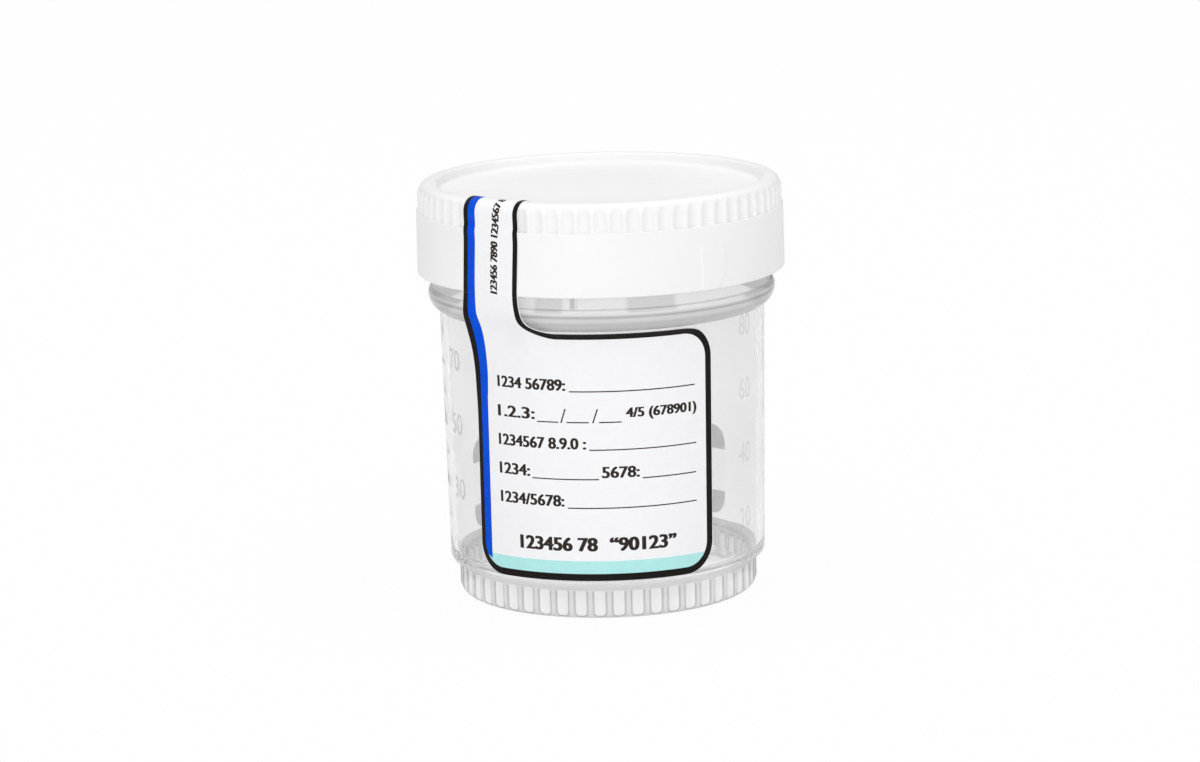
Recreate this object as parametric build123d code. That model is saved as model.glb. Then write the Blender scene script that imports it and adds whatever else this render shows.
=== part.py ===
"""Urine specimen cup with a quick-turn screw cap, in millimetres, +Z up, origin at the centre of the foot ring."""

from build123d import *
from math import cos, pi, radians, sin
import os

# Bearings are degrees round the axis, 0 at the front (-Y) and positive towards +X.

# Heights above the surface that the cup stands on
FOOT_TOP = 4.9
BODY_BOTTOM = 6.6
BODY_TOP = 47.2
BEAD_EDGE = 50.1
NECK_BOTTOM = 51.2
LIP_TOP = 64.5
CAP_BOTTOM = 53.35
BAND_TOP = 63.6
CAP_TOP = 68.2

# Outer radii
FOOT_RADIUS = 24.5
FOOT_EDGE = 1.7
BODY_BOTTOM_RADIUS = 25.9
BODY_TOP_RADIUS = 26.55
BEAD_RADIUS = 28.35
NECK_RADIUS = 27.6
CAP_RADIUS = 30.0
FLUTED_RADIUS = 29.65

# Moulded wall
WALL = 1.2
NECK_WALL = 1.1
FLOOR_UNDERSIDE = 1.3
FLOOR_THICKNESS = 1.3
FOOT_RING_WIDTH = 1.4

# Cap
SHOULDER = 2.0
RIM_INNER_RADIUS = 26.5
RECESS_DEPTH = 1.6
CAP_PLATE = 1.25
CAP_BORE = 28.75
CAP_HEAD_BORE = 27.85
THREAD_ZONE_TOP = 62.8
CAP_FLUTES = 72
CAP_FLUTE_RADIUS = 1.4
CAP_FLUTE_DEPTH = 0.5
PAD_LEFT = 32.0
PAD_RIGHT = 41.1
PAD_TOP = 60.4
PAD_CUT_WIDTH = 1.8
PAD_CUT_HEIGHT = 2.0
PAD_RELIEF = 0.14

# Foot flutes
FOOT_FLUTES = 50
FOOT_FLUTE_RADIUS = 1.9
FOOT_FLUTE_DEPTH = 0.4

# Quick-turn thread: four starts, and the cap rises by LEAD in one turn
LEAD = 16.0
STARTS = 4
RIDGE_BASE = 1.5
RIDGE_CREST = 0.8
RIDGE_SINK = 0.2
CUP_RIDGE_RADIUS = 28.45
CAP_RIDGE_RADIUS = 27.9
FLANK_SPACING = 1.1
CUP_RIDGE_ARC = 80.0
CAP_RIDGE_ARC = 45.0
RIDGE_STEP = 5.0

# Click ribs on the neck, and the pawls that the cap snaps over them
CLICK_BEARING = -9.7
CLICK_WIDTH = 0.9
CLICK_RADIUS = 28.2
CLICK_BOTTOM = 51.5
CLICK_TOP = 55.0
PAWL_LAG = 3.8
PAWL_RADIUS = 28.3
PAWL_HEIGHT = 54.5
PAWL_ARC = 3.0

# Sealing disc under the cap
DISC_RADIUS = 27.5
DISC_GAP = 0.05

# Labels
PAPER = 0.15
PAPER_GAP = 0.03
PANEL_LEFT = -50.4
PANEL_RIGHT = 40.1
PANEL_BOTTOM = 6.78
PANEL_TOP = 47.05
PANEL_CORNER = 5.4
STRIP_BEARING = -36.0
STRIP_LEAN = 2.4
STRIP_WIDTH = 10.8
STRIP_BOTTOM = 36.0
BRIDGE_START = 42.2
BRIDGE_RADIUS = 30.25
BRIDGE_TOP = 49.8
TEAR_GAP = 0.06
STRIP_TAIL_RADIUS = 19.0
REAR_BEARING = 184.7
REAR_WIDTH = 112.0
REAR_BOTTOM = 7.5
REAR_TOP = 22.7
REAR_CORNER = 3.0

# Graduations, in millilitres
GRADUATIONS = range(10, 91, 10)
TICK_BEARING = -78.0
TICK_WIDTH = 4.0
TICK_HEIGHT = 0.5
TICK_RELIEF = 0.1


def at(bearing, radius, height):
    """Point at a bearing, a radius and a height."""
    angle = radians(bearing)
    return Vector(radius * sin(angle), -radius * cos(angle), height)


def body_radius(height):
    """Outer radius of the tapered body."""
    share = (height - BODY_BOTTOM) / (BODY_TOP - BODY_BOTTOM)
    return BODY_BOTTOM_RADIUS + share * (BODY_TOP_RADIUS - BODY_BOTTOM_RADIUS)


def turned(outline):
    """Solid made by turning an outline in the XZ plane about the axis."""
    return revolve(Plane.XZ * make_face(outline), Axis.Z)


def sector(profile, first, last):
    """Part of a turned profile, drawn in the XZ plane, from one bearing to another."""
    # Plane.XZ holds +X at bearing 90
    return Rot(0, 0, first - 90) * revolve(Plane.XZ * profile, Axis.Z, last - first)


def quad(points):
    """Face in sketch coordinates with straight sides through (radius, height) points."""
    return make_face(Polyline(*points, close=True))


# Cup


def inner_floor():
    return FLOOR_UNDERSIDE + FLOOR_THICKNESS


def foot_bore():
    return FOOT_RADIUS - FOOT_FLUTE_DEPTH - WALL + 0.1


def cup_shell():
    """The moulded wall as one turned outline, from the foot ring up to the lip and down inside."""
    ledge = FOOT_TOP + 0.75
    step = BODY_BOTTOM_RADIUS - 0.9
    ring_outer = FOOT_RADIUS - FOOT_EDGE
    ring_inner = ring_outer - FOOT_RING_WIDTH
    bore = foot_bore()
    floor = inner_floor()
    neck_bore = NECK_RADIUS - NECK_WALL
    body_bore_bottom = BODY_BOTTOM_RADIUS - WALL
    body_bore_top = BODY_TOP_RADIUS - WALL
    bead_start = BODY_TOP_RADIUS + 0.15
    lip = 0.4
    outside = [
        Line((ring_inner, 0), (ring_outer, 0)),
        RadiusArc((ring_outer, 0), (FOOT_RADIUS, FOOT_EDGE), -FOOT_EDGE),
        Line((FOOT_RADIUS, FOOT_EDGE), (FOOT_RADIUS, ledge)),
        Line((FOOT_RADIUS, ledge), (step, ledge)),
        RadiusArc((step, ledge), (BODY_BOTTOM_RADIUS, BODY_BOTTOM), -1.0),
        Line((BODY_BOTTOM_RADIUS, BODY_BOTTOM), (BODY_TOP_RADIUS, BODY_TOP)),
        Line((BODY_TOP_RADIUS, BODY_TOP), (bead_start, BODY_TOP + 0.25)),
        RadiusArc((bead_start, BODY_TOP + 0.25), (BEAD_RADIUS, BEAD_EDGE), -3.2),
        RadiusArc((BEAD_RADIUS, BEAD_EDGE), (NECK_RADIUS, NECK_BOTTOM), -1.1),
        Line((NECK_RADIUS, NECK_BOTTOM), (NECK_RADIUS, LIP_TOP - lip)),
        RadiusArc((NECK_RADIUS, LIP_TOP - lip), (NECK_RADIUS - lip, LIP_TOP), -lip),
    ]
    inside = [
        Line((NECK_RADIUS - lip, LIP_TOP), (neck_bore + lip, LIP_TOP)),
        RadiusArc((neck_bore + lip, LIP_TOP), (neck_bore, LIP_TOP - lip), -lip),
        Line((neck_bore, LIP_TOP - lip), (neck_bore, NECK_BOTTOM - 0.9)),
        Line((neck_bore, NECK_BOTTOM - 0.9), (body_bore_top, BODY_TOP + 0.3)),
        Line((body_bore_top, BODY_TOP + 0.3), (body_bore_bottom, BODY_BOTTOM + 0.8)),
        Line((body_bore_bottom, BODY_BOTTOM + 0.8), (bore, ledge + 0.2)),
        Line((bore, ledge + 0.2), (bore, floor + 1.2)),
        RadiusArc((bore, floor + 1.2), (bore - 1.2, floor), 1.2),
        Line((bore - 1.2, floor), (0, floor)),
        Line((0, floor), (0, FLOOR_UNDERSIDE)),
        Line((0, FLOOR_UNDERSIDE), (ring_inner - 0.5, FLOOR_UNDERSIDE)),
        Line((ring_inner - 0.5, FLOOR_UNDERSIDE), (ring_inner, 0)),
    ]
    return turned(outside + inside)


def foot_scallops():
    """Upright round cutters whose tops are square and whose lower ends run out in the foot's rounded edge."""
    pitch_radius = FOOT_RADIUS - FOOT_FLUTE_DEPTH + FOOT_FLUTE_RADIUS
    cutter = Pos(0, 0, -1) * extrude(Circle(FOOT_FLUTE_RADIUS), FOOT_TOP + 1)
    return PolarLocations(pitch_radius, FOOT_FLUTES) * cutter


def helix_height(bearing):
    """Height of the cap's thread groove at a bearing, while the cap is closed."""
    return PAWL_HEIGHT + LEAD * (bearing - CLICK_BEARING + PAWL_LAG) / 360


def ridge(first, arc, root_radius, crest_radius, lift, base=RIDGE_BASE, crest=RIDGE_CREST):
    """One thread start: trapezoid sections set round the helix, low at both ends, joined by a ruled loft."""
    count = max(2, round(arc / RIDGE_STEP))
    sections = []
    for index in range(count + 1):
        share = index / count
        bearing = first + arc * share
        height = helix_height(bearing) + lift
        rise = min(1.0, 0.35 + 5 * share, 0.35 + 5 * (1 - share))
        top_radius = root_radius + (crest_radius - root_radius) * rise
        corners = [
            at(bearing, root_radius, height - base / 2),
            at(bearing, top_radius, height - crest / 2),
            at(bearing, top_radius, height + crest / 2),
            at(bearing, root_radius, height + base / 2),
        ]
        sections.append(Wire.make_polygon(corners, close=True))
    return Solid.make_loft(sections, ruled=True)


def ridge_start():
    """Bearing at which the cap's first thread start begins."""
    return CLICK_BEARING - PAWL_LAG + 74.0


def all_starts(piece):
    """The piece repeated for every thread start."""
    return [Rot(0, 0, 360 / STARTS * k) * piece for k in range(STARTS)]


def cup_thread():
    root = NECK_RADIUS - RIDGE_SINK
    return all_starts(ridge(ridge_start() - 5, CUP_RIDGE_ARC, root, CUP_RIDGE_RADIUS, FLANK_SPACING))


def click_ribs():
    """Upright ribs low on the neck, one for each thread start, that the cap clicks past as it closes."""
    half = CLICK_WIDTH / CLICK_RADIUS * 180 / pi / 2
    profile = quad(
        [
            (NECK_RADIUS - RIDGE_SINK, CLICK_BOTTOM),
            (CLICK_RADIUS, CLICK_BOTTOM),
            (CLICK_RADIUS, CLICK_TOP - 0.6),
            (NECK_RADIUS - RIDGE_SINK, CLICK_TOP),
        ]
    )
    return all_starts(sector(profile, CLICK_BEARING - half, CLICK_BEARING + half))


def fill_height(millilitres):
    """Height of the liquid's surface for a volume, from the bore's cylinder in the foot and its cone above."""
    volume = millilitres * 1000
    step_height = FOOT_TOP + 1.35
    foot_volume = pi * foot_bore() ** 2 * (step_height - inner_floor())
    height = step_height
    low_bore = BODY_BOTTOM_RADIUS - WALL
    slope = (BODY_TOP_RADIUS - BODY_BOTTOM_RADIUS) / (BODY_TOP - BODY_BOTTOM)
    for _ in range(30):
        mean_bore = low_bore + slope * (height - step_height) / 2
        height = step_height + (volume - foot_volume) / (pi * mean_bore**2)
    return height


def graduation_ticks():
    """A raised line on the wall at every ten millilitres, longer at the numbered ones."""
    ticks = []
    for millilitres in GRADUATIONS:
        height = fill_height(millilitres)
        if height > BODY_TOP - 1:
            continue
        radius = body_radius(height)
        width = TICK_WIDTH if millilitres % 20 == 10 else TICK_WIDTH / 2
        half = TICK_HEIGHT / 2
        profile = quad(
            [
                (radius - RIDGE_SINK, height - half),
                (radius + TICK_RELIEF, height - half * 0.5),
                (radius + TICK_RELIEF, height + half * 0.5),
                (radius - RIDGE_SINK, height + half),
            ]
        )
        ticks.append(sector(profile, TICK_BEARING - width / radius * 180 / pi, TICK_BEARING))
    return ticks


def cup_body():
    cup = cup_shell() - foot_scallops()
    for piece in cup_thread() + click_ribs() + graduation_ticks():
        cup = cup + piece
    return cup


# Cap


def cap_shell():
    """Skirt, shoulder and dished top as one turned outline."""
    recess = CAP_TOP - RECESS_DEPTH
    underside = recess - CAP_PLATE
    shoulder_bottom = CAP_TOP - SHOULDER
    rim_outer = FLUTED_RADIUS - SHOULDER
    edge = 0.5
    outside = [
        Line((CAP_BORE + 0.35, CAP_BOTTOM), (CAP_RADIUS - 0.3, CAP_BOTTOM)),
        RadiusArc((CAP_RADIUS - 0.3, CAP_BOTTOM), (CAP_RADIUS, CAP_BOTTOM + 0.3), -0.3),
        Line((CAP_RADIUS, CAP_BOTTOM + 0.3), (CAP_RADIUS - 0.1, BAND_TOP - 0.15)),
        Line((CAP_RADIUS - 0.1, BAND_TOP - 0.15), (FLUTED_RADIUS, BAND_TOP)),
        Line((FLUTED_RADIUS, BAND_TOP), (FLUTED_RADIUS, shoulder_bottom)),
        RadiusArc((FLUTED_RADIUS, shoulder_bottom), (rim_outer, CAP_TOP), -SHOULDER),
        Line((rim_outer, CAP_TOP), (RIM_INNER_RADIUS + edge, CAP_TOP)),
        RadiusArc((RIM_INNER_RADIUS + edge, CAP_TOP), (RIM_INNER_RADIUS, CAP_TOP - edge), -edge),
        Line((RIM_INNER_RADIUS, CAP_TOP - edge), (RIM_INNER_RADIUS, recess + edge)),
        RadiusArc((RIM_INNER_RADIUS, recess + edge), (RIM_INNER_RADIUS - edge, recess), edge),
        Line((RIM_INNER_RADIUS - edge, recess), (0, recess)),
    ]
    inside = [
        Line((0, recess), (0, underside)),
        Line((0, underside), (CAP_HEAD_BORE, underside)),
        Line((CAP_HEAD_BORE, underside), (CAP_HEAD_BORE, THREAD_ZONE_TOP + 0.9)),
        Line((CAP_HEAD_BORE, THREAD_ZONE_TOP + 0.9), (CAP_BORE, THREAD_ZONE_TOP)),
        Line((CAP_BORE, THREAD_ZONE_TOP), (CAP_BORE, CAP_BOTTOM + 0.5)),
        Line((CAP_BORE, CAP_BOTTOM + 0.5), (CAP_BORE + 0.35, CAP_BOTTOM)),
    ]
    return turned(outside + inside)


def cap_scallops():
    """Upright round cutters that leave narrow ridges and run out in pointed arches on the shoulder."""
    pitch_radius = FLUTED_RADIUS - CAP_FLUTE_DEPTH + CAP_FLUTE_RADIUS
    cutter = Pos(0, 0, BAND_TOP + 0.1) * extrude(Circle(CAP_FLUTE_RADIUS), CAP_TOP - BAND_TOP)
    return PolarLocations(pitch_radius, CAP_FLUTES) * cutter


def cap_thread():
    root = CAP_BORE + RIDGE_SINK
    return all_starts(ridge(ridge_start(), CAP_RIDGE_ARC, root, CAP_RIDGE_RADIUS, 0))


def cap_pawls():
    """Short lugs at the foot of the skirt, on the thread's own helix, that snap past the click ribs."""
    root = CAP_BORE + RIDGE_SINK
    first = CLICK_BEARING - PAWL_LAG - PAWL_ARC / 2
    return all_starts(ridge(first, PAWL_ARC, root, PAWL_RADIUS, 0, base=1.2, crest=0.9))


def index_pad():
    """Raised pad on the skirt's smooth band, with one lower corner cut off, that marks the closed position."""
    profile = quad(
        [
            (CAP_RADIUS - 0.6, CAP_BOTTOM + 0.05),
            (CAP_RADIUS + PAD_RELIEF - 0.05, CAP_BOTTOM + 0.05),
            (CAP_RADIUS + PAD_RELIEF, CAP_BOTTOM + 0.3),
            (CAP_RADIUS + PAD_RELIEF - 0.07, PAD_TOP - 0.15),
            (CAP_RADIUS - 0.6, PAD_TOP),
        ]
    )
    corner = at(PAD_RIGHT, CAP_RADIUS, CAP_BOTTOM)
    facing = Plane(origin=corner, x_dir=at(PAD_RIGHT + 90, 1, 0), z_dir=at(PAD_RIGHT, 1, 0))
    slope = [(-PAD_CUT_WIDTH, 0), (0, PAD_CUT_HEIGHT)]
    outside = [(2, PAD_CUT_HEIGHT), (2, -1), (-PAD_CUT_WIDTH, -1)]
    cut = facing * make_face(Polyline(*slope, *outside, close=True))
    return sector(profile, PAD_LEFT, PAD_RIGHT) - extrude(cut, 3, both=True)


def screw_cap():
    cap = cap_shell() - cap_scallops()
    for piece in cap_thread() + cap_pawls() + [index_pad()]:
        cap = cap + piece
    return cap


def sealing_disc():
    """Thin soft disc, loose under the cap's plate, that the plate presses on the lip."""
    top = CAP_TOP - RECESS_DEPTH - CAP_PLATE - DISC_GAP
    bottom = LIP_TOP + 2 * DISC_GAP
    return Pos(0, 0, bottom) * extrude(Circle(DISC_RADIUS), top - bottom)


# Labels


def corner_cutter(bearing, height, radius, corner, side, upright):
    """Removes a square corner outside a rounded one: side is 1 at the right edge, upright is 1 at the top."""
    centre_bearing = bearing - side * corner / radius * 180 / pi
    centre_height = height - upright * corner
    facing = Plane(
        origin=at(centre_bearing, radius, centre_height),
        x_dir=at(centre_bearing + 90, 1, 0),
        z_dir=at(centre_bearing, 1, 0),
    )
    size = corner + 1.5
    square = Pos(side * size / 2, upright * size / 2) * Rectangle(size, size)
    return extrude(facing * (square - Circle(corner)), 2, both=True)


def wall_sheet(first, last, bottom, top, corner, corners):
    """Thin sheet that lies on the tapered body, with some corners rounded."""
    low, high = body_radius(bottom) + PAPER_GAP, body_radius(top) + PAPER_GAP
    profile = quad([(low, bottom), (low + PAPER, bottom), (high + PAPER, top), (high, top)])
    sheet = sector(profile, first, last)
    for side, upright in corners:
        bearing = last if side > 0 else first
        height = top if upright > 0 else bottom
        sheet = sheet - corner_cutter(bearing, height, body_radius(height), corner, side, upright)
    return sheet


def strip_slab(bottom, top):
    """Slab as wide as the strip, at the strip's bearing and lean, level at both ends."""
    reach = CAP_RADIUS + 5
    slab = Rot(0, STRIP_LEAN, 0) * Box(STRIP_WIDTH, reach, 80)
    slab = Pos(0, -reach / 2 - 5, (CAP_BOTTOM + CAP_TOP) / 2) * slab
    level = Pos(0, -reach / 2 - 5, (bottom + top) / 2) * Box(reach, reach, top - bottom)
    return Rot(0, 0, STRIP_BEARING) * (slab & level)


def thin_path(points, corner_radii):
    """Face one sheet thick outside a path of (radius, height) points with rounded corners."""
    inner = FilletPolyline(*points, radius=corner_radii)
    outline = offset(inner, PAPER, side=Side.RIGHT)
    return make_face(outline)


def label_panel():
    """The writing panel on the body, with the tongue that reaches out over the bead to the cap's edge."""
    rounded = [(1, 1), (1, -1), (-1, -1)]
    panel = wall_sheet(PANEL_LEFT, PANEL_RIGHT, PANEL_BOTTOM, PANEL_TOP, PANEL_CORNER, rounded)
    left_of_strip = Rot(0, 0, STRIP_BEARING) * Pos(-20, -25, 50) * Box(40, 50, 2 * (50 - STRIP_BOTTOM))
    panel = panel - strip_slab(STRIP_BOTTOM, PANEL_TOP + 1) - left_of_strip
    tongue_top = CAP_BOTTOM - TEAR_GAP
    inner = FilletPolyline(
        (body_radius(PANEL_BOTTOM) + PAPER_GAP, PANEL_BOTTOM),
        (body_radius(BRIDGE_START) + PAPER_GAP, BRIDGE_START),
        (BRIDGE_RADIUS, BRIDGE_TOP),
        (CAP_RADIUS + PAPER_GAP, tongue_top),
        radius=[15.0, 3.0],
    )
    outer = Pos(PAPER, 0) * inner
    ends = [Line(inner @ 0, outer @ 0), Line(inner @ 1, outer @ 1)]
    tongue = sector(make_face([inner, outer] + ends), STRIP_BEARING - 20, STRIP_BEARING + 20)
    tongue = tongue & strip_slab(STRIP_BOTTOM, tongue_top + 1)
    return panel + tongue


def label_seal_strip():
    """The part of the label on the cap: up the skirt, over the shoulder and into the dished top."""
    recess = CAP_TOP - RECESS_DEPTH + PAPER_GAP
    gap = PAPER_GAP
    path = [
        (CAP_RADIUS + gap, CAP_BOTTOM + TEAR_GAP),
        (CAP_RADIUS - 0.1 + gap, BAND_TOP),
        (FLUTED_RADIUS + gap, BAND_TOP + 0.6),
        (FLUTED_RADIUS + gap, CAP_TOP + gap),
        (RIM_INNER_RADIUS - gap - PAPER, CAP_TOP + gap),
        (RIM_INNER_RADIUS - gap - PAPER, recess),
        (STRIP_TAIL_RADIUS, recess),
    ]
    face = thin_path(path, [1.0, 1.0, SHOULDER + gap, 0.3, 0.4])
    strip = sector(face, STRIP_BEARING - 25, STRIP_BEARING + 25)
    return strip & strip_slab(CAP_BOTTOM - 1, CAP_TOP + 2)


def temperature_strip():
    """The strip on the back of the body, seen through the clear wall past both edges of the panel."""
    first, last = REAR_BEARING - REAR_WIDTH / 2, REAR_BEARING + REAR_WIDTH / 2
    corners = [(1, 1), (1, -1), (-1, 1), (-1, -1)]
    return wall_sheet(first, last, REAR_BOTTOM, REAR_TOP, REAR_CORNER, corners)


PARTS = {
    "cup_body": cup_body,
    "screw_cap": screw_cap,
    "sealing_disc": sealing_disc,
    "label_panel": label_panel,
    "label_seal_strip": label_seal_strip,
    "temperature_strip": temperature_strip,
}

os.makedirs("parts", exist_ok=True)
for name, make in PARTS.items():
    part = make()
    solids = part.solids()
    print(name, "solids", len(solids), "volume", round(sum(s.volume for s in solids), 1))
    export_step(Compound(solids) if len(solids) > 1 else solids[0], f"parts/{name}.step")
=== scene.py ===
"""The looks of a specimen cup: clear moulded plastic, white cap, printed label and temperature strip."""

from math import atan2, cos, hypot, pi, radians, sin, tan

import bmesh
import bpy
import numpy as np
from mathutils import Euler, Matrix, Vector
from mathutils.geometry import delaunay_2d_cdt

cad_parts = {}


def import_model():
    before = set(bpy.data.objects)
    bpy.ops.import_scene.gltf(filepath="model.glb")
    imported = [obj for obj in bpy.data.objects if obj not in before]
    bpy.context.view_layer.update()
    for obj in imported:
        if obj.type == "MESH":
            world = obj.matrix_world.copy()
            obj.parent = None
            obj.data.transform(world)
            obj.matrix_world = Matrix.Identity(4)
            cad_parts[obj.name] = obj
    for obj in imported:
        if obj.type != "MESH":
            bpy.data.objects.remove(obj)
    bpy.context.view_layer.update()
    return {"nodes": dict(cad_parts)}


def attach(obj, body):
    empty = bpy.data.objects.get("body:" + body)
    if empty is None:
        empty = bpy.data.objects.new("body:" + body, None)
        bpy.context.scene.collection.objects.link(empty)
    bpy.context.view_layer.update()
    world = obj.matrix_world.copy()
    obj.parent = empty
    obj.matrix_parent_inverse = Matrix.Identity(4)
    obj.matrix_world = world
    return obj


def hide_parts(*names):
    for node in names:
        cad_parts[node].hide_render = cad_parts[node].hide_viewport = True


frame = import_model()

# Lengths below are millimetres, and MM turns them into metres as a mesh is made.
# Bearings are degrees round the axis, 0 at the front (-Y) and positive towards +X.
MM = 0.001

# Cup: BEAD_UNDER and BEAD_OVER are corners of its outline, as radius, height and rounding
FOOT_TOP = 4.9
FOOT_RADIUS = 24.5
FOOT_EDGE = 1.7
LEDGE = 5.65
BODY_BOTTOM = 6.6
BODY_TOP = 47.2
BODY_BOTTOM_RADIUS = 25.9
BODY_TOP_RADIUS = 26.55
BEAD_RADIUS = 28.35
BEAD_EDGE = 50.1
BEAD_UNDER = (28.265, 48.314, 3.1)
BEAD_OVER = (28.392, 50.934, 1.0)
NECK_BOTTOM = 51.2
NECK_RADIUS = 27.6
NECK_BORE = 26.5
LIP_TOP = 64.5
FOOT_RING_INNER = 21.4
FOOT_WALL = 1.1
BODY_WALL = 1.2
BODY_BOTTOM_BORE = 24.7
INNER_LEDGE = LEDGE + 0.6
FLOOR_UNDERSIDE = 1.3
FLOOR_TOP = 2.6
FOOT_FLUTES = 50
FOOT_FLUTE_BEARING = 3.6
FOOT_FLUTE_RADIUS = 1.9
FOOT_FLUTE_DEPTH = 0.4

# Graduation marks: every second one is long
TICK_BEARING = -78.0
TICK_LENGTHS = {millilitres: 4.0 if millilitres % 20 else 2.0 for millilitres in range(10, 90, 10)}
TICK_HALF = 0.2
TICK_RELIEF = 0.04

# Places where the cup's plastic is textured, or thick and milky with painted shade
FROST_RADIUS = 22.9
FROST_HEIGHT = 2.75
FOOT_FACE_RADIUS = 23.6
BEAD_LOW = BODY_TOP + 0.2
BEAD_HIGH = BEAD_EDGE + 0.5
NECK_HIGH = 54.85

# Cap
CAP_RADIUS = 30.0
CAP_BOTTOM = 53.35
BAND_TOP = 63.6
FLUTED_RADIUS = 29.65
CAP_TOP = 68.2
SHOULDER = 2.0
RECESS_RADIUS = 26.5
RECESS_FLOOR = 66.6
CAP_UNDERSIDE = 65.35
CAP_BORE = 28.75
CAP_HEAD_BORE = 27.85
THREAD_ZONE_TOP = 62.8
CAP_FLUTES = 72
CAP_FLUTE_RADIUS = 1.4
CAP_FLUTE_DEPTH = 0.5

# Raised pad that marks the closed position, with its lower right corner cut off
PAD_LEFT = 32.0
PAD_RIGHT = 41.1
PAD_TOP = 60.4
PAD_RELIEF = 0.14
PAD_CUT_WIDTH = 1.8
PAD_CUT_HEIGHT = 2.0

# Quick-turn thread, with click ribs on the neck and pawls in the cap
LEAD = 16.0
STARTS = 4
THREAD_BEARING = 60.5
RIDGE_BASE = 1.38
RIDGE_CREST = 0.8
CUP_RIDGE_RADIUS = 28.45
CUP_RIDGE_ARC = 80.0
CUP_RIDGE_LEAD_IN = 5.0
CAP_RIDGE_RADIUS = 27.9
CAP_RIDGE_ARC = 45.0
FLANK_SPACING = 1.1
CLICK_BEARING = -9.7
CLICK_HALF = 0.5
CLICK_RADIUS = 28.2
CLICK_BOTTOM = 51.4
CLICK_TOP = 54.8
PAWL_BEARING = -13.5
PAWL_ARC = 3.0
PAWL_HEIGHT = 54.5
PAWL_RELIEF = 0.45

# Label, in its own flat coordinates: s to the right of the strip's middle, v up along the paper
STRIP_BEARING = -36.3
PANEL_LEFT = -6.39
PANEL_RIGHT = 34.99
PANEL_BOTTOM = 6.78
PANEL_TOP = 47.6
PANEL_LEAN = 0.0165
LEAN_TOP = 36.0
STRIP_MIDDLE = 0.11
STRIP_MIDDLE_V = 60.7
STRIP_SLOPE = 0.0425
STRIP_STRAIGHT_V = 62.5
STRIP_RETURN = 0.03
STRIP_HALF = 5.38
PAPER = 0.15
PAPER_GAP = 0.03
TEAR_HALF = 0.004
MEAN_RADIUS = 26.25
WALL_CLEARANCE = 0.005
MARGIN = 0.06
SIDE_BORDER = 1.16
TOP_BORDER = 1.2
STRIP_BORDER = 0.85
LEFT_BORDER = 0.95
BLUE_WIDTH = 1.57
BLUE_BOTTOM = 9.2
INNER_CORNER_WIDTH = 4.2
INNER_CORNER_HEIGHT = 7.2
TEAL_TOP = 10.1
BRIDGE_START = 42.2
BRIDGE_RADIUS = 30.25
BRIDGE_TOP = 49.8
STRIP_TAIL_RADIUS = 19.0

# The label leaves the wall for the strip's path between these s, and everywhere between these v
LEAVES_S = (3.0, 9.5)
LEAVES_V = (45.5, 50.0)

# The label's hollow as it bridges to the cap, and the curl of its left edge below that
HOLLOW_MIDDLE = -0.3
HOLLOW_DEPTH = 1.3
HOLLOW_HEIGHT = 47.6
HOLLOW_SPREAD = 3.9
CURL_WIDTH = 3.2
CURL_RISE = 0.5
CURL_HEIGHT = 41.5
CURL_SPREAD = 5.0

# The photograph's camera
AIM = (-0.648, 0.0, 34.235)
DISTANCE = 728.96
ELEVATION = 11.286
ROLL = -1.427
LENS = 133.08


# Geometry helpers


def ring(radius, bearing):
    """X and Y of a radius and a bearing."""
    angle = np.radians(bearing)
    return radius * np.sin(angle), -radius * np.cos(angle)


def rounded(corners, steps=6, closed=False):
    """Polyline through (x, y, rounding) corners, with each corner drawn as an arc."""
    points = []
    count = len(corners)
    for index, (x, y, rounding) in enumerate(corners):
        here = np.array((x, y), float)
        at_end = index in (0, count - 1) and not closed
        if rounding == 0 or at_end:
            points.append(here)
            continue
        back = np.array(corners[index - 1][:2]) - here
        ahead = np.array(corners[(index + 1) % count][:2]) - here
        back /= np.linalg.norm(back)
        ahead /= np.linalg.norm(ahead)
        half = np.arccos(np.clip(back @ ahead, -1, 1)) / 2
        centre = here + (back + ahead) / np.linalg.norm(back + ahead) * rounding / sin(half)
        start = here + back * rounding / tan(half) - centre
        end = here + ahead * rounding / tan(half) - centre
        first = atan2(start[1], start[0])
        turn = (atan2(end[1], end[0]) - first + pi) % (2 * pi) - pi
        for step in range(steps + 1):
            angle = first + turn * step / steps
            points.append(centre + rounding * np.array((cos(angle), sin(angle))))
    return np.array(points)


def subdivided(points, longest, closed=False):
    """The same polyline with no step longer than `longest`, a number or a function of the step's middle."""
    ends = np.vstack([points, points[:1]]) if closed else points
    result = []
    for a, b in zip(ends[:-1], ends[1:]):
        limit = longest((a + b) / 2) if callable(longest) else longest
        pieces = max(1, int(np.ceil(np.linalg.norm(b - a) / limit)))
        result += [a + (b - a) * k / pieces for k in range(pieces)]
    if not closed:
        result.append(ends[-1])
    return np.array(result)


def smooth_min(a, b, blend):
    """The smaller of two values, with the crease between them rounded over about `blend`."""
    share = np.clip(0.5 + 0.5 * (b - a) / blend, 0, 1)
    return b + (a - b) * share - blend * share * (1 - share)


def smooth_step(low, high, value):
    """0 where a value is under `low`, 1 where it is over `high`, and smooth between."""
    share = np.clip((value - low) / (high - low), 0, 1)
    return share * share * (3 - 2 * share)


def new_object(name, vertices, faces):
    """Smooth-shaded object from coordinates in millimetres."""
    mesh = bpy.data.meshes.new(name)
    mesh.from_pydata((vertices * MM).tolist(), [], faces)
    mesh.shade_smooth()
    mesh.validate()
    obj = bpy.data.objects.new(name, mesh)
    bpy.context.scene.collection.objects.link(obj)
    return obj


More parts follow.
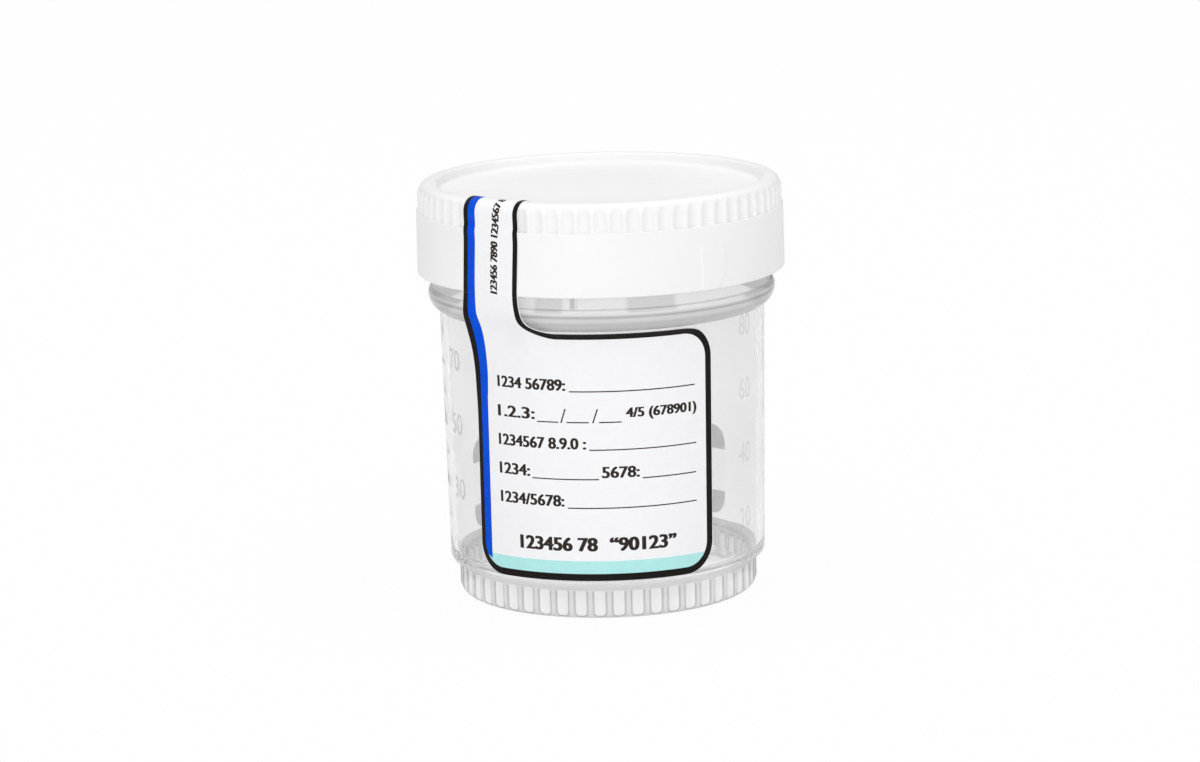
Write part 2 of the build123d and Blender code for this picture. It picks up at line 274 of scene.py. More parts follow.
def lathe(name, outline, bearings, radius_at):
    """Closed mesh turned from a (radius, height) outline that starts and ends on the axis."""
    rows = outline[1:-1]
    grid_bearing, grid_height = np.meshgrid(bearings, rows[:, 1])
    grid_radius = np.repeat(rows[:, :1], len(bearings), axis=1)
    grid_radius = radius_at(grid_radius, grid_height, grid_bearing)
    x, y = ring(grid_radius, grid_bearing)
    vertices = np.stack([x, y, grid_height], axis=-1).reshape(-1, 3)
    columns = len(bearings)
    count = len(vertices)
    vertices = np.vstack([vertices, [(0, 0, outline[0][1]), (0, 0, outline[-1][1])]])
    sides = [(column, (column + 1) % columns) for column in range(columns)]
    faces = []
    for low in range(0, count - columns, columns):
        faces += [(low + a, low + b, low + columns + b, low + columns + a) for a, b in sides]
    top = count - columns
    for a, b in sides:
        faces += [(count, b, a), (count + 1, top + a, top + b)]
    return new_object(name, vertices, faces)


def fluted_bearings(count, centre, offsets):
    """Bearings for every column of a ring of flutes, closer together at the ridges."""
    pitch = 360 / count
    return np.array([centre + pitch * k + offset for k in range(count) for offset in offsets])


def scallop(bearing, count, centre, radius, depth, cutter):
    """Radius of the surface left by round upright cutters, and 1 more than the radius between them."""
    pitch = 360 / count
    offset = np.radians((bearing - centre + pitch / 2) % pitch - pitch / 2)
    reach = radius - depth + cutter
    inside = cutter**2 - (reach * np.sin(offset)) ** 2
    cut = reach * np.cos(offset) - np.sqrt(np.maximum(inside, 0))
    return np.where(inside > 0, cut, radius + 1)


def ridge_rise(bearing, height, first, arc, lift=0.0, base=RIDGE_BASE, crest=RIDGE_CREST):
    """How far up its flank, 0 to 1, a point lies on a ridge that follows the thread's helix."""
    turn = (bearing - first) % (360 / STARTS)
    along = np.where(turn <= arc, turn, 0)
    axis = PAWL_HEIGHT + LEAD * (first + along - PAWL_BEARING) / 360 + lift
    flank = (base - 2 * np.abs(height - axis)) / (base - crest)
    ends = np.minimum(1, np.minimum(0.2 + along / 5, 0.2 + (arc - along) / 5))
    return np.where(turn <= arc, np.clip(flank, 0, 1) * ends, 0)


# Cup


def body_radius(height):
    """Outer radius of the tapered body."""
    share = (height - BODY_BOTTOM) / (BODY_TOP - BODY_BOTTOM)
    return BODY_BOTTOM_RADIUS + share * (BODY_TOP_RADIUS - BODY_BOTTOM_RADIUS)


FOOT_BORE = FOOT_RADIUS - FOOT_FLUTE_DEPTH - FOOT_WALL


def graduation_height(millilitres):
    """Height of a graduation mark: the bore holds a millilitre in each 0.53 mm above the foot."""
    foot_volume = pi * FOOT_BORE**2 * (INNER_LEDGE - FLOOR_TOP)
    height = INNER_LEDGE
    for _ in range(20):
        bore = (BODY_BOTTOM_BORE + body_radius(height) - BODY_WALL) / 2
        height = INNER_LEDGE + (millilitres * 1000 - foot_volume) / (pi * bore**2)
    return height


def cup_outline():
    """Outline of the moulded wall, from the underside's middle round the lip to the floor's middle."""
    outline = rounded([
        (0, FLOOR_UNDERSIDE, 0),
        (FOOT_RING_INNER - 0.5, FLOOR_UNDERSIDE, 0.3),
        (FOOT_RING_INNER, 0, 0.12),
        (FOOT_RADIUS, 0, FOOT_EDGE),
        (FOOT_RADIUS, FOOT_TOP, 0),
        (FOOT_RADIUS, FOOT_TOP + 0.08, 0),
        (FOOT_RADIUS, LEDGE, 0.25),
        (BODY_BOTTOM_RADIUS, LEDGE, 0.9),
        (BODY_TOP_RADIUS, BODY_TOP, 0.1),
        (BODY_TOP_RADIUS + 0.15, BODY_TOP + 0.25, 0.05),
        BEAD_UNDER,
        (BEAD_RADIUS, BEAD_EDGE, 0),
        BEAD_OVER,
        (NECK_RADIUS, NECK_BOTTOM, 0.5),
        (NECK_RADIUS, LIP_TOP, 0.4),
        (NECK_BORE, LIP_TOP, 0.4),
        (NECK_BORE, NECK_BOTTOM - 0.9, 1.2),
        (BODY_TOP_RADIUS - BODY_WALL, BODY_TOP + 0.3, 1.2),
        (BODY_BOTTOM_BORE, 7.4, 0.8),
        (FOOT_BORE, 5.85, 0.6),
        (FOOT_BORE, FLOOR_TOP, 1.2),
        (0, FLOOR_TOP, 0),
    ], steps=8)

    def longest(middle):
        """Short steps on the neck, where the thread needs them."""
        radius, height = middle
        on_neck = radius > NECK_RADIUS - 0.1 and NECK_BOTTOM < height < LIP_TOP - 0.5
        return 0.2 if on_neck else 4.0

    outline = subdivided(outline, longest)
    offsets = (-0.25, -0.12, 0.12, 0.25)
    tick_heights = [graduation_height(mark) + offset for mark in TICK_LENGTHS for offset in offsets]
    start = next(i for i, p in enumerate(outline) if p[1] > BODY_BOTTOM - 0.1 and p[0] > FOOT_RADIUS + 1)
    end = next(i for i, p in enumerate(outline) if p[1] > BODY_TOP)
    wall = [*outline[start:end], *((body_radius(height), height) for height in tick_heights)]
    wall = sorted(wall, key=lambda p: p[1])
    return np.vstack([outline[:start], np.array(wall), outline[end:]])


def cup_radius(radius, height, bearing):
    """The turned radius changed by the foot's flutes, the thread, the click ribs and the graduation marks."""
    foot = (radius > FOOT_BORE + 0.9) & (height <= FOOT_TOP + 0.01)
    cut = scallop(bearing, FOOT_FLUTES, FOOT_FLUTE_BEARING, FOOT_RADIUS, FOOT_FLUTE_DEPTH, FOOT_FLUTE_RADIUS)
    radius = np.where(foot, smooth_min(radius, cut, 0.05), radius)
    neck = (radius > NECK_RADIUS - 0.01) & (height > NECK_BOTTOM) & (height < LIP_TOP - 0.5)
    rise = ridge_rise(bearing, height, THREAD_BEARING - CUP_RIDGE_LEAD_IN, CUP_RIDGE_ARC, FLANK_SPACING)
    thread = NECK_RADIUS + (CUP_RIDGE_RADIUS - NECK_RADIUS) * rise
    half_pitch = 180 / STARTS
    from_click = (bearing - CLICK_BEARING + half_pitch) % (2 * half_pitch) - half_pitch
    from_click = np.abs(from_click) * NECK_RADIUS * pi / 180
    click = (from_click < CLICK_HALF) & (height > CLICK_BOTTOM) & (height < CLICK_TOP)
    radius = np.where(neck, np.maximum(thread, np.where(click, CLICK_RADIUS, 0)), radius)
    for millilitres, length in TICK_LENGTHS.items():
        level = np.abs(height - graduation_height(millilitres)) < TICK_HALF
        first = TICK_BEARING - length / MEAN_RADIUS * 180 / pi
        around = (bearing - first) % 360 < TICK_BEARING - first
        outside = radius > BODY_BOTTOM_RADIUS - 0.1
        radius = np.where(level & around & outside, radius + TICK_RELIEF, radius)
    return radius


CLEAR, FROSTED, FOOT, BEAD, NECK = range(5)


def cup_zone(radius, height):
    """Which of the cup's materials a face takes, from where its middle is."""
    if radius < FROST_RADIUS and height < FROST_HEIGHT:
        return FROSTED
    if radius > FOOT_FACE_RADIUS and height < BODY_BOTTOM:
        return FOOT
    if radius > BODY_TOP_RADIUS + 0.05 and BEAD_LOW < height < BEAD_HIGH:
        return BEAD
    if radius > NECK_RADIUS - 0.05 and BEAD_HIGH <= height < NECK_HIGH:
        return NECK
    return CLEAR


def cup():
    """The moulded cup, with its clear, frosted and milky faces told apart."""
    offsets = (-3.6, -3.1, -2.8, -2.6, -2.1, -1.4, -0.7, 0, 0.7, 1.4, 2.1, 2.6, 2.8, 3.1)
    bearings = fluted_bearings(FOOT_FLUTES, FOOT_FLUTE_BEARING, offsets)
    obj = lathe("cup_wall", cup_outline(), bearings, cup_radius)
    obj.data.set_sharp_from_angle(angle=radians(28))
    for face in obj.data.polygons:
        place = face.center / MM
        face.material_index = cup_zone(hypot(place.x, place.y), place.z)
    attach(obj, "cup")
    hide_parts("cup_body")
    return obj


# Cap


def cap_outline():
    """Outline of the cap, from the underside's middle round the skirt to the dished top's middle."""
    outline = rounded([
        (0, CAP_UNDERSIDE, 0),
        (CAP_HEAD_BORE, CAP_UNDERSIDE, 0.3),
        (CAP_HEAD_BORE, THREAD_ZONE_TOP + 0.9, 0.2),
        (CAP_BORE, THREAD_ZONE_TOP, 0.2),
        (CAP_BORE, CAP_BOTTOM + 0.4, 0.2),
        (CAP_BORE + 0.35, CAP_BOTTOM, 0.1),
        (CAP_RADIUS, CAP_BOTTOM, 0.3),
        (CAP_RADIUS - 0.1, BAND_TOP, 0.12),
        (FLUTED_RADIUS, BAND_TOP + 0.02, 0.05),
        (FLUTED_RADIUS, CAP_TOP, SHOULDER),
        (RECESS_RADIUS, CAP_TOP, 0.5),
        (RECESS_RADIUS, RECESS_FLOOR, 0.5),
        (0, RECESS_FLOOR, 0),
    ], steps=14)

    def longest(middle):
        """Short steps in the thread and on the index pad."""
        radius, height = middle
        in_thread = radius < CAP_BORE + 0.1 and CAP_BOTTOM + 0.5 < height < THREAD_ZONE_TOP
        on_pad = radius > CAP_RADIUS - 0.2 and height < PAD_TOP + 0.4
        return 0.25 if in_thread or on_pad else 2.5

    return subdivided(outline, longest)


def pad_rise(height, bearing):
    """How far up, 0 to 1, a point of the smooth band lies on the index pad and its short slopes."""
    from_left = np.radians(bearing - PAD_LEFT) * CAP_RADIUS
    from_right = np.radians(PAD_RIGHT - bearing) * CAP_RADIUS
    above_cut = from_right * PAD_CUT_HEIGHT + (height - CAP_BOTTOM) * PAD_CUT_WIDTH
    above_cut = (above_cut - PAD_CUT_WIDTH * PAD_CUT_HEIGHT) / hypot(PAD_CUT_WIDTH, PAD_CUT_HEIGHT)
    nearest = np.minimum(np.minimum(from_left, from_right), np.minimum(PAD_TOP - height, above_cut))
    return smooth_step(-0.1, 0.1, nearest)


def cap_radius(radius, height, bearing):
    """The turned radius changed by the grip's flutes, the thread, the pawls and the index pad."""
    fluted = (radius > CAP_HEAD_BORE - 0.5) & (height > BAND_TOP + 0.01) & (radius > RECESS_RADIUS + 0.6)
    fluted = fluted & ~((radius < CAP_BORE) & (height < CAP_UNDERSIDE + 0.1))
    cut = scallop(bearing, CAP_FLUTES, 0, FLUTED_RADIUS, CAP_FLUTE_DEPTH, CAP_FLUTE_RADIUS)
    radius = np.where(fluted, smooth_min(radius, cut, 0.07), radius)
    inside = (radius < CAP_BORE + 0.05) & (height > CAP_BOTTOM + 0.3) & (height < THREAD_ZONE_TOP + 0.1)
    rise = ridge_rise(bearing, height, THREAD_BEARING, CAP_RIDGE_ARC)
    thread = CAP_BORE - (CAP_BORE - CAP_RIDGE_RADIUS) * rise
    pawl_rise = ridge_rise(bearing, height, PAWL_BEARING - PAWL_ARC / 2, PAWL_ARC, base=1.1, crest=0.9)
    pawl = CAP_BORE - PAWL_RELIEF * pawl_rise
    radius = np.where(inside, np.minimum(thread, pawl), radius)
    on_band = (radius > CAP_RADIUS - 0.35) & (height < BAND_TOP)
    return np.where(on_band, radius + PAD_RELIEF * pad_rise(height, bearing), radius)


def cap():
    """The moulded cap, with the matt face of its dish told apart."""
    offsets = (-2.5, -2.2, -2.0, -1.8, -1.5, -1.0, -0.5, 0, 0.5, 1.0, 1.5, 1.8, 2.0, 2.2)
    bearings = fluted_bearings(CAP_FLUTES, 0, offsets)
    obj = lathe("cap_moulding", cap_outline(), bearings, cap_radius)
    for face in obj.data.polygons:
        place = face.center / MM
        in_dish = hypot(place.x, place.y) < RECESS_RADIUS - 0.3 and place.z > RECESS_FLOOR - 0.1
        face.material_index = int(in_dish)
    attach(obj, "cap")
    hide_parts("screw_cap")
    return obj


# Label


def paper_path():
    """(radius, height) points of the strip's inner face, from the panel's foot to the strip's tail."""
    gap = PAPER_GAP
    return rounded([
        (body_radius(PANEL_BOTTOM - 5) + gap, PANEL_BOTTOM - 5, 0),
        (body_radius(BRIDGE_START) + gap, BRIDGE_START, 15.0),
        (BRIDGE_RADIUS, BRIDGE_TOP, 3.0),
        (CAP_RADIUS + gap, CAP_BOTTOM, 2.0),
        (CAP_RADIUS - 0.1 + gap, BAND_TOP, 1.0),
        (FLUTED_RADIUS + gap, BAND_TOP + 0.6, 1.0),
        (FLUTED_RADIUS + gap, CAP_TOP + gap, SHOULDER + gap),
        (RECESS_RADIUS - gap - PAPER, CAP_TOP + gap, 0.45),
        (RECESS_RADIUS - gap - PAPER, RECESS_FLOOR + gap, 0.5),
        (STRIP_TAIL_RADIUS - 1, RECESS_FLOOR + gap, 0),
    ], steps=10)


PATH = paper_path()
PATH_LENGTH = np.concatenate([[0], np.cumsum(np.linalg.norm(np.diff(PATH, axis=0), axis=1))])
PATH_V = PATH[0][1] + PATH_LENGTH


def v_at_height(height):
    """The v of the point of the path that is at a height, on its way up."""
    top = int(np.argmax(PATH[:, 1]))
    return float(np.interp(height, PATH[:top + 1, 1], PATH_V[:top + 1]))


TEAR_V = v_at_height(CAP_BOTTOM)
TAIL_V = PATH_V[-1] - 1


def path_normal(v):
    """Outward direction of the path, as its parts along the radius and the axis."""
    step = 0.05
    dr = np.interp(v + step, PATH_V, PATH[:, 0]) - np.interp(v - step, PATH_V, PATH[:, 0])
    dz = np.interp(v + step, PATH_V, PATH[:, 1]) - np.interp(v - step, PATH_V, PATH[:, 1])
    size = np.hypot(dr, dz)
    return dz / size, -dr / size


def cup_surface(height):
    """Outer radius of the cup's wall and bead at a height."""
    outline = cup_outline()
    outer = outline[: int(np.argmax(outline[:, 1]))]
    outer = outer[np.argmax(outer[:, 1] > BODY_BOTTOM):]
    return np.interp(height, outer[:, 1], outer[:, 0])


def label_point(s, v, lift):
    """Place on the object of a point of the flat label, `lift` above the paper's inner face."""
    path_r = np.interp(v, PATH_V, PATH[:, 0])
    path_z = np.interp(v, PATH_V, PATH[:, 1])
    normal_r, normal_z = path_normal(v)
    wall_r = body_radius(v) + PAPER_GAP
    on_strip = 1 - smooth_step(*LEAVES_S, s)
    on_strip = on_strip + (1 - on_strip) * smooth_step(*LEAVES_V, v)
    radius = wall_r + (path_r - wall_r) * on_strip
    height = v + (path_z - v) * on_strip
    across = np.clip(1 - ((s - HOLLOW_MIDDLE) / STRIP_HALF) ** 2, 0, 1)
    radius = radius - HOLLOW_DEPTH * across * np.exp(-(((height - HOLLOW_HEIGHT) / HOLLOW_SPREAD) ** 2))
    curl = np.clip((-CURL_WIDTH - s) / CURL_WIDTH, 0, 1) ** 2
    radius = radius + CURL_RISE * curl * np.exp(-(((height - CURL_HEIGHT) / CURL_SPREAD) ** 2))
    radius = np.where(v < TEAR_V, np.maximum(radius, cup_surface(height) + PAPER_GAP), radius)
    off_wall = np.clip(on_strip, 0, 1) * smooth_step(BRIDGE_START - 3, 50, v)
    around = MEAN_RADIUS + (radius - MEAN_RADIUS) * off_wall
    bearing = STRIP_BEARING + np.degrees(s / around)
    radius = radius + lift * normal_r
    height = height + lift * normal_z
    x, y = ring(radius, bearing)
    return np.stack([x, y, height], axis=-1)


def strip_edge(side, v):
    """s of the strip's left (-1) or right (1) edge: it leans right, and slightly back over the cap's top."""
    lean = STRIP_SLOPE * (np.minimum(v, STRIP_STRAIGHT_V) - STRIP_MIDDLE_V)
    lean = lean - STRIP_RETURN * np.maximum(v - STRIP_STRAIGHT_V, 0)
    return STRIP_MIDDLE + lean + side * STRIP_HALF


def left_edge(v):
    """s of the whole label's left edge."""
    return np.where(v > LEAN_TOP, strip_edge(-1, v), PANEL_LEFT - PANEL_LEAN * (LEAN_TOP - v))


def label_outline(sides, top_side, left_side, strip_side):
    """The whole label's outline, moved inwards by a distance on each side."""
    bottom, top = PANEL_BOTTOM + sides, PANEL_TOP - top_side
    right, tail = PANEL_RIGHT - sides, TAIL_V - strip_side
    corner_top = top + INNER_CORNER_HEIGHT + strip_side
    corner_left = strip_edge(1, corner_top) - strip_side
    corner = []
    for angle in np.linspace(pi / 2, 0, 16):
        across = (INNER_CORNER_WIDTH + strip_side) * (1 - cos(angle))
        corner.append((corner_left + across, corner_top - (corner_top - top) * sin(angle), 0))
    return rounded([
        (float(left_edge(bottom)) + left_side, bottom, 5.0 - sides),
        (right, bottom, 5.2 - sides),
        (right, top, 5.4 - top_side),
        *corner,
        (strip_edge(1, STRIP_STRAIGHT_V) - strip_side, STRIP_STRAIGHT_V, 20.0),
        (strip_edge(1, tail) - strip_side, tail, 1.5 - min(strip_side, 1.0)),
        (strip_edge(-1, tail) + left_side, tail, 1.5 - min(left_side, 1.0)),
        (strip_edge(-1, STRIP_STRAIGHT_V) + left_side, STRIP_STRAIGHT_V, 20.0),
        (strip_edge(-1, LEAN_TOP) + left_side, LEAN_TOP, 30.0),
    ], steps=12, closed=True)


def rectangle(left, right, bottom, top):
    """Corners of an upright rectangle."""
    return np.array([(left, bottom), (right, bottom), (right, top), (left, top)], float)


def s_at(bearing):
    """s of a bearing on the panel."""
    return radians(bearing - STRIP_BEARING) * MEAN_RADIUS


def glyph_edges(text, left, right, bottom, top, weight=0.0, slant=0.0, upright=False):
    """Outline of plain numerals fitted to a rectangle, as an array of (start, end) points."""
    curve = bpy.data.curves.new("numerals", "FONT")
    curve.body = text
    curve.offset = weight
    curve.shear = slant
    curve.resolution_u = 4
    holder = bpy.data.objects.new("numerals", curve)
    bpy.context.scene.collection.objects.link(holder)
    mesh = bpy.data.meshes.new_from_object(holder.evaluated_get(bpy.context.evaluated_depsgraph_get()))
    work = bmesh.new()
    work.from_mesh(mesh)
    edges = [[v.co.xy[:] for v in e.verts] for e in work.edges if len(e.link_faces) == 1]
    work.free()
    bpy.data.objects.remove(holder)
    bpy.data.curves.remove(curve)
    bpy.data.meshes.remove(mesh)
    edges = np.array(edges)
    low, high = edges.min(axis=(0, 1)), edges.max(axis=(0, 1))
    share = (edges - low) / (high - low)
    if upright:
        share = np.stack([1 - share[..., 1], share[..., 0]], axis=-1)
    return share * (right - left, top - bottom) + (left, bottom)


def loop_edges(points, longest=0.6):
    """A closed outline as an array of (start, end) points, in short steps."""
    points = subdivided(np.asarray(points, float), longest, closed=True)
    return np.stack([points, np.roll(points, -1, axis=0)], axis=1)


def inside(edges, points):
    """Which points lie inside a set of closed loops, by the even-odd rule."""
    a, b = edges[:, 0], edges[:, 1]
    result = np.zeros(len(points), bool)
    for start in range(0, len(points), 2000):
        px = points[start:start + 2000, 0][:, None]
        py = points[start:start + 2000, 1][:, None]
        spans = (a[:, 1] > py) != (b[:, 1] > py)
        rise = np.where(b[:, 1] == a[:, 1], 1e-12, b[:, 1] - a[:, 1])
        crossing = a[:, 0] + (py - a[:, 1]) / rise * (b[:, 0] - a[:, 0])
        result[start:start + 2000] = (spans & (px < crossing)).sum(axis=1) % 2 == 1
    return result


SHEET_STEP = 0.7


def printed_sheet(name, outline, inks, place, thickness, see_through=False):
    """Closed thin sheet cut to the loops of an outline, its face divided along the edges of its printing.

    inks is a list of (edges, material number), later ones over earlier ones. place(s, v, lift) bends it.
    On a see-through sheet the printing shows on the back as well.
    """
    all_edges = np.vstack([outline, *(edges for edges, _ in inks)]).reshape(-1, 2)
    low, high = outline.min(axis=(0, 1)), outline.max(axis=(0, 1))
    ticks = [np.arange(low[k] + SHEET_STEP / 3, high[k], SHEET_STEP) for k in (0, 1)]
    grid = np.stack(np.meshgrid(*ticks), axis=-1).reshape(-1, 2)
    grid = grid[inside(outline, grid)]
    points = [Vector(p) for p in np.vstack([all_edges, grid])]
    edges = [(2 * k, 2 * k + 1) for k in range(len(all_edges) // 2)]
    flat, _, triangles, _, _, _ = delaunay_2d_cdt(points, edges, [], 0, 1e-4, False)
    flat = np.array([p[:] for p in flat])
    triangles = np.array([t[:] for t in triangles])
    centres = flat[triangles].mean(axis=1)
    kept = inside(outline, centres)
    triangles, centres = triangles[kept], centres[kept]
    ink = np.zeros(len(triangles), int)
    for ink_edges, number in inks:
        ink[inside(ink_edges, centres)] = number
    used, new_index = np.unique(triangles, return_inverse=True)
    flat = flat[used]
    triangles = new_index.reshape(-1, 3)
    count = len(flat)
    top = place(flat[:, 0], flat[:, 1], thickness)
    bottom = place(flat[:, 0], flat[:, 1], 0.0)
    triangles = triangles.tolist()
    sides = dict.fromkeys((t[k], t[(k + 1) % 3]) for t in triangles for k in range(3))
    rim = [(p, q) for p, q in sides if (q, p) not in sides]
    faces = triangles + [[i + count for i in reversed(t)] for t in triangles]
    faces += [(q, p, p + count, q + count) for p, q in rim]
    obj = new_object(name, np.vstack([top, bottom]), faces)
    numbers = np.zeros(len(obj.data.polygons), int)
    numbers[: len(ink)] = ink
    if see_through:
        numbers[len(ink): 2 * len(ink)] = ink
    obj.data.polygons.foreach_set("material_index", numbers)
    sharp = {frozenset((p + side, q + side)) for p, q in rim for side in (0, count)}
    for edge in obj.data.edges:
        edge.use_edge_sharp = frozenset(edge.vertices) in sharp
    return obj


def clip_below(points, level):
    """Part of a closed outline at or below a level."""
    result = []
    for a, b in zip(points, np.roll(points, -1, axis=0)):
        if a[1] <= level:
            result.append(a)
        if (a[1] <= level) != (b[1] <= level):
            result.append(a + (b - a) * (level - a[1]) / (b[1] - a[1]))
    return np.array(result)


def clip_above(points, level):
    """Part of a closed outline at or above a level."""
    flipped = points * (1, -1)
    return clip_below(flipped, -level) * (1, -1)


# The label's printing: (left bearing, right bearing, height) of its lines, and numerals with their boxes
WHITE, BLACK, BLUE, TEAL, TEXT = range(5)
RULE = 0.2
LINES = [
    (-12.2, 32.8, 37.8),
    (-24.1, -16.3, 32.8),
    (-13.4, -5.6, 32.8),
    (-2.1, 5.7, 32.8),
    (-5.7, 33.2, 28.3),
    (-26.6, -2.6, 23.5),
    (12.6, 33.0, 23.5),
    (-13.8, 33.1, 18.8),
]
SLASHES = [(-15.6, -13.5), (-4.5, -2.3)]
SLASH_BOTTOM = 32.7
SLASH_TOP = 35.0
SLASH_WIDTH = 0.24
CAPTIONS = [
    ("1234 56789:", -39.8, -13.4, 37.9, 39.8),
    ("1.2.3:", -40.1, -24.8, 33.1, 35.0),
    ("4/5 (678901)", 7.1, 33.5, 33.0, 35.1),
    ("1234567 8.9.0 :", -40.2, -6.7, 28.4, 30.3),
    ("1234:", -40.3, -27.4, 23.7, 25.6),
    ("5678:", -1.6, 11.7, 23.7, 25.6),
    ("1234/5678:", -40.3, -14.9, 19.0, 20.9),
]
HEADINGS = [
    ("123456 78", -32.4, -3.6, 11.7, 14.0),
    ("“90123”", 0.6, 24.8, 11.7, 14.0),
]
SMALL_TEXT = "123456 7890 1234567 8"
SMALL_TEXT_INSET = 4.35
SMALL_TEXT_HALF = 0.68


def label_printing():
    """Everything printed on the label: border, stripes, ruled lines and numerals where captions go."""
    outer = loop_edges(label_outline(MARGIN, MARGIN, MARGIN, MARGIN))
    borders = (SIDE_BORDER, TOP_BORDER, LEFT_BORDER, STRIP_BORDER)
    core = label_outline(*(MARGIN + border for border in borders))
    inks = [(outer, BLACK), (loop_edges(core), WHITE)]

    def print_bold(edges, shift):
        """The same numerals three times, side by side, which thickens their upright strokes."""
        for step in (-1, 0, 1):
            inks.append((edges + np.multiply(shift, step), TEXT))

    fine_core = subdivided(core, 0.5, closed=True)
    inks.append((loop_edges(clip_below(fine_core, TEAL_TOP)), TEAL))
    levels = np.linspace(BLUE_BOTTOM, TAIL_V - 1, 90)
    blue_left = MARGIN + LEFT_BORDER
    beside_blue = left_edge(levels) + blue_left + BLUE_WIDTH
    left_part = fine_core[fine_core[:, 0] < left_edge(fine_core[:, 1]) + blue_left + BLUE_WIDTH / 2]
    left_part = left_part[(left_part[:, 1] > levels[0]) & (left_part[:, 1] < levels[-1])]
    left_part = left_part[np.argsort(-left_part[:, 1])]
    blue = np.vstack([np.stack([beside_blue, levels], axis=-1), left_part])
    inks.append((loop_edges(blue), BLUE))
    for left, right, height in LINES:
        box = rectangle(s_at(left), s_at(right), height - RULE / 2, height + RULE / 2)
        inks.append((loop_edges(box), TEXT))
    for left, right in SLASHES:
        foot = [(s_at(left), SLASH_BOTTOM), (s_at(left) + SLASH_WIDTH, SLASH_BOTTOM)]
        head = [(s_at(right), SLASH_TOP), (s_at(right) - SLASH_WIDTH, SLASH_TOP)]
        inks.append((loop_edges(foot + head), TEXT))
    for texts, weight, shift in ((CAPTIONS, 0.012, 0.09), (HEADINGS, 0.015, 0.13)):
        for text, left, right, low, high in texts:
            print_bold(glyph_edges(text, s_at(left) + 0.1, s_at(right) - 0.1, low, high, weight), (shift, 0))
    bottom, top = TEAR_V + 0.3, v_at_height(66.0) + 3.4
    middle = strip_edge(1, (bottom + top) / 2) - SMALL_TEXT_INSET
    sides = (middle - SMALL_TEXT_HALF, middle + SMALL_TEXT_HALF)
    small = glyph_edges(SMALL_TEXT, *sides, bottom, top, weight=0.014, slant=0.15, upright=True)
    small[..., 0] += STRIP_SLOPE * (small[..., 1] - (bottom + top) / 2)
    print_bold(small, (0, 0.09))
    return inks


def label():
    """The panel on the cup and the strip on the cap, cut apart at the tear line."""
    whole = subdivided(label_outline(0.0, 0.0, 0.0, 0.0), 0.7, closed=True)
    inks = label_printing()
    pieces = []
    for name, outline, body, node in (
        ("label_sheet", clip_below(whole, TEAR_V - TEAR_HALF), "cup", "label_panel"),
        ("seal_strip_sheet", clip_above(whole, TEAR_V + TEAR_HALF), "cap", "label_seal_strip"),
    ):
        obj = printed_sheet(name, loop_edges(outline, 0.7), inks, label_point, PAPER)
        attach(obj, body)
        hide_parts(node)
        pieces.append(obj)
    return pieces


# Materials


def grey(level):
    """Scene colour of a grey given in 0 to 1."""
    return (level, level, level, 1.0)


def srgb(*channels):
    """Scene colour of an sRGB colour given in 0 to 255."""
    shares = [channel / 255 for channel in channels]
    return (*(s / 12.92 if s <= 0.04045 else ((s + 0.055) / 1.055) ** 2.4 for s in shares), 1.0)


class Nodes:
    """A node tree, whose nodes' inputs take plain values or other nodes' outputs."""

    def __init__(self, tree):
        self.tree = tree

    def feed(self, socket, value):
        """Links an input to an output, or sets it to a plain value."""
        if isinstance(value, bpy.types.NodeSocket):
            self.tree.links.new(value, socket)
        else:
            socket.default_value = value

    def add(self, kind, inputs, **settings):
        """The outputs of a new node, made with its settings and with its inputs by name or number."""
        node = self.tree.nodes.new(f"ShaderNode{kind}")
        for name, setting in settings.items():
            setattr(node, name, setting)
        for key, value in inputs.items():
            self.feed(node.inputs[key], value)
        return node.outputs

    def maths(self, operation, *values):
        """Result of a maths operation on outputs and numbers."""
        return self.add("Math", dict(enumerate(values)), operation=operation)[0]

    def mixed(self, share, first, second):
        """Shader that goes from the first to the second as the share goes from 0 to 1."""
        return self.add("MixShader", {0: share, 1: first, 2: second})[0]

    def stepped(self, value, low, high, before, after):
        """`before` where a value is under `low`, `after` where it is over `high`, and smooth between."""
        inputs = {"Value": value, "From Min": low, "From Max": high, "To Min": before, "To Max": after}
        return self.add("MapRange", inputs, interpolation_type="SMOOTHSTEP")["Result"]

    def seen_directly(self):
        """1 for rays from the camera and through clear pieces, and 0 for rays that light things."""
        path = self.add("LightPath", {})
        return self.maths("MAXIMUM", path["Is Camera Ray"], path["Is Transmission Ray"])

    def place(self):
        """Point on the object, in metres."""
        return self.add("TexCoord", {})["Object"]

    def cup_axes(self):
        """Bearing in radians and height in millimetres on the cup."""
        x, y, z = self.add("SeparateXYZ", {0: self.place()})
        return self.maths("ARCTAN2", x, self.maths("MULTIPLY", y, -1)), self.maths("MULTIPLY", z, 1 / MM)

    def noise(self, scale, detail=3.0):
        """Noise from 0 to 1, mostly in the middle of that."""
        return self.add("TexNoise", {"Vector": self.place(), "Scale": scale, "Detail": detail})["Fac"]

    def ramp(self, value, stops):
        """Colours spread over a value between 0 and 1 by (value, colour) stops."""
        outputs = self.add("ValToRGB", {"Fac": value})
        elements = outputs["Color"].node.color_ramp.elements
        for index, (level, colour) in enumerate(stops):
            stop = elements[index] if index < 2 else elements.new(level)
            stop.position = level
            stop.color = colour
        return outputs["Color"]

    def mottled(self, value, low, high):
        """Two colours spread over the range that a noise mostly has."""
        return self.ramp(value, ((0.3, low), (0.7, high)))

    def graded(self, value, tones):
        """Greys spread over a value between 0 and 100 by (value, grey) tones."""
        stops = [(level / 100, grey(tone)) for level, tone in tones]
        return self.ramp(self.maths("DIVIDE", value, 100), stops)


